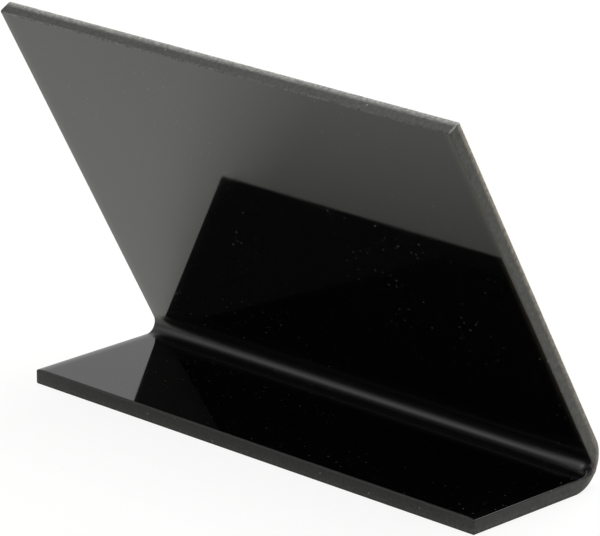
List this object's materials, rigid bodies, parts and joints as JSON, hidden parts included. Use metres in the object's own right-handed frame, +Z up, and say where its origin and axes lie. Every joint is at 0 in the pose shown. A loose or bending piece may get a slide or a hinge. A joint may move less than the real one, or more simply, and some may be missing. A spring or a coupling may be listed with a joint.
{
  "type": "table chalkboard sign",
  "caption": "Small free-standing table sign: a sheet of gloss black acrylic, heat-bent into a leaning panel for chalk writing and a flat foot that reaches back under it.",
  "frame": {"origin": "middle of the bounding box, on the surface that the foot stands on", "axes": "+X along the bend, across the sign's width; +Y backwards, the way the foot points; +Z up. The writing face looks towards -Y and up."},
  "size_m": [0.105, 0.0376, 0.0708],
  "materials": {
    "black_acrylic": "polished black acrylic faces with sanded, dark grey cut edges"
  },
  "bodies": {
    "root": {"chalkboard_sheet": "black_acrylic"}
  },
  "joints": []
}
